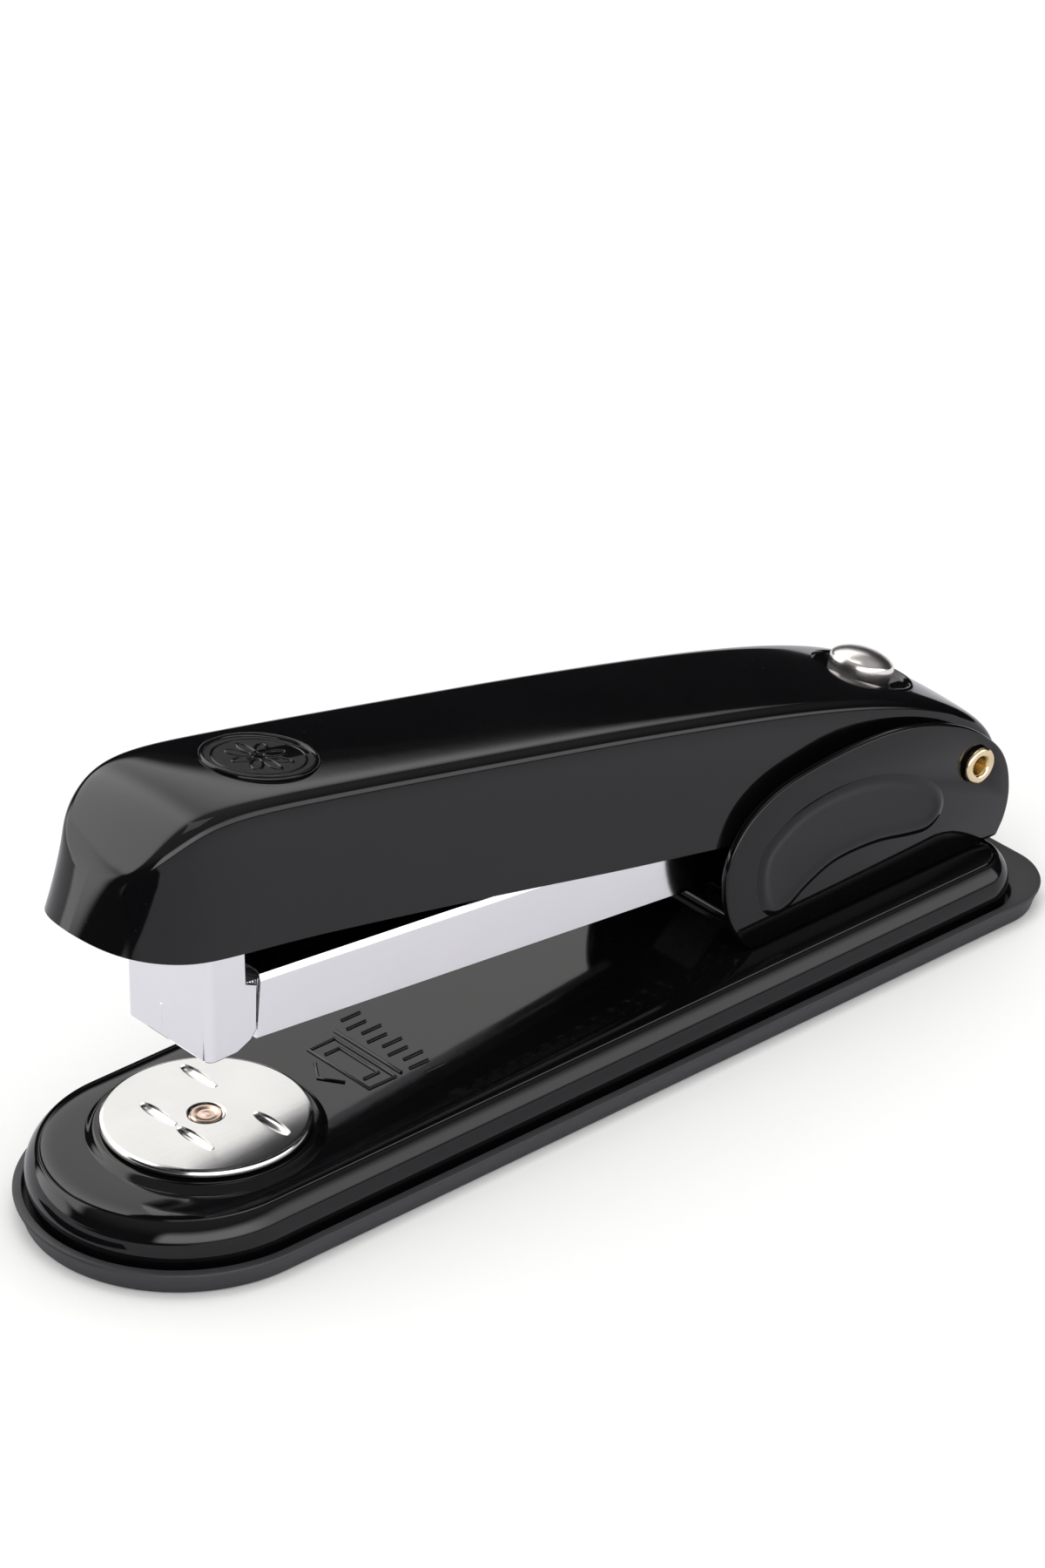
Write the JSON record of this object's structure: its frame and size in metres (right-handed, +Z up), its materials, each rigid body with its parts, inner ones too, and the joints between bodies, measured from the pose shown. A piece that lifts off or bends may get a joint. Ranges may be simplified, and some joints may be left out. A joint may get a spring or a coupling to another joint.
{
  "type": "desk stapler",
  "caption": "Desk stapler with a black enamelled cover and base, a chromed magazine on a rear pivot, a turning anvil and a push-button that frees the sliding staple rail.",
  "frame": {"origin": "centre of the footprint on the table, at the underside of the rubber foot", "axes": "+Z up, +Y towards the rear pivot along the length, +X to the right side seen from behind"},
  "size_m": [0.0438, 0.1598, 0.0631],
  "materials": {
    "enamel": "gloss black enamel",
    "rubber": "matte",
    "chrome": "polished",
    "brass": "polished",
    "steel": "satin zinc plate",
    "spring_steel": "oiled spring steel"
  },
  "bodies": {
    "base": {"rubber_foot": "rubber", "base_pan": "enamel", "anvil_rivet": "brass", "anvil_spring": "spring_steel", "cheek_bracket": "enamel", "bracket_rivet_1": "steel", "bracket_rivet_2": "steel", "bracket_rivet_3": "steel", "lift_spring": "spring_steel", "pivot_eyelet": "brass", "pivot_sleeve": "steel", "pivot_washer_left": "steel", "pivot_washer_right": "steel"},
    "anvil": {"anvil_disc": "chrome"},
    "magazine": {"magazine_channel": "chrome", "latch_pin": "steel", "latch_spring": "spring_steel", "cover_spring": "spring_steel"},
    "latch": {"latch_lever": "steel"},
    "rail": {"staple_rail": "steel", "nose_cap": "chrome", "staple_strip": "steel", "spring_rod": "steel", "pusher_spring": "spring_steel"},
    "pusher": {"pusher": "steel"},
    "cover": {"top_cover": "enamel", "driver_blade": "steel", "button_guide": "steel", "button_spring": "spring_steel"},
    "button": {"button_cap": "chrome", "button_stem": "steel", "stem_clip": "spring_steel"}
  },
  "joints": [
    {"name": "anvil_turn", "type": "hinge", "parent": "base", "child": "anvil", "pos_m": [0, -0.0541, 0.0114], "axis": [0, 0, 1], "range_deg": [0, 180]},
    {"name": "magazine_swing", "type": "hinge", "parent": "base", "child": "magazine", "pos_m": [0, 0.0689, 0.0225], "axis": [1, 0, 0], "range_deg": [0, 5.8], "stiffness_Nm_per_rad": 1.5, "springref_deg": -14.32, "deforming": ["lift_spring"]},
    {"name": "cover_press", "type": "hinge", "parent": "magazine", "child": "cover", "pos_m": [0, 0.0689, 0.0225], "axis": [1, 0, 0], "range_deg": [0, 4.4], "stiffness_Nm_per_rad": 2, "springref_deg": -6.88, "deforming": ["cover_spring"]},
    {"name": "rail_slide", "type": "slide", "parent": "magazine", "child": "rail", "axis": [0, 0.9951, -0.0993], "range_m": [-0.075, 0]},
    {"name": "pusher_slide", "type": "slide", "parent": "rail", "child": "pusher", "axis": [0, 0.9951, -0.0993], "range_m": [0, 0.04], "stiffness_N_per_m": 20, "springref_m": -0.05, "deforming": ["pusher_spring"]},
    {"name": "button_press", "type": "slide", "parent": "cover", "child": "button", "axis": [0, -0.3453, -0.9385], "range_m": [0, 0.002], "stiffness_N_per_m": 800, "springref_m": -0.001, "deforming": ["button_spring"]},
    {"name": "latch_turn", "type": "hinge", "parent": "magazine", "child": "latch", "pos_m": [0, 0.05019, 0.02638], "axis": [-1, 0, 0], "range_deg": [0, 16.2], "deforming": ["latch_spring"]}
  ],
  "couplings": [
    {"joint": "latch_turn", "follows": "button_press", "rad_per_m": 140.8}
  ]
}
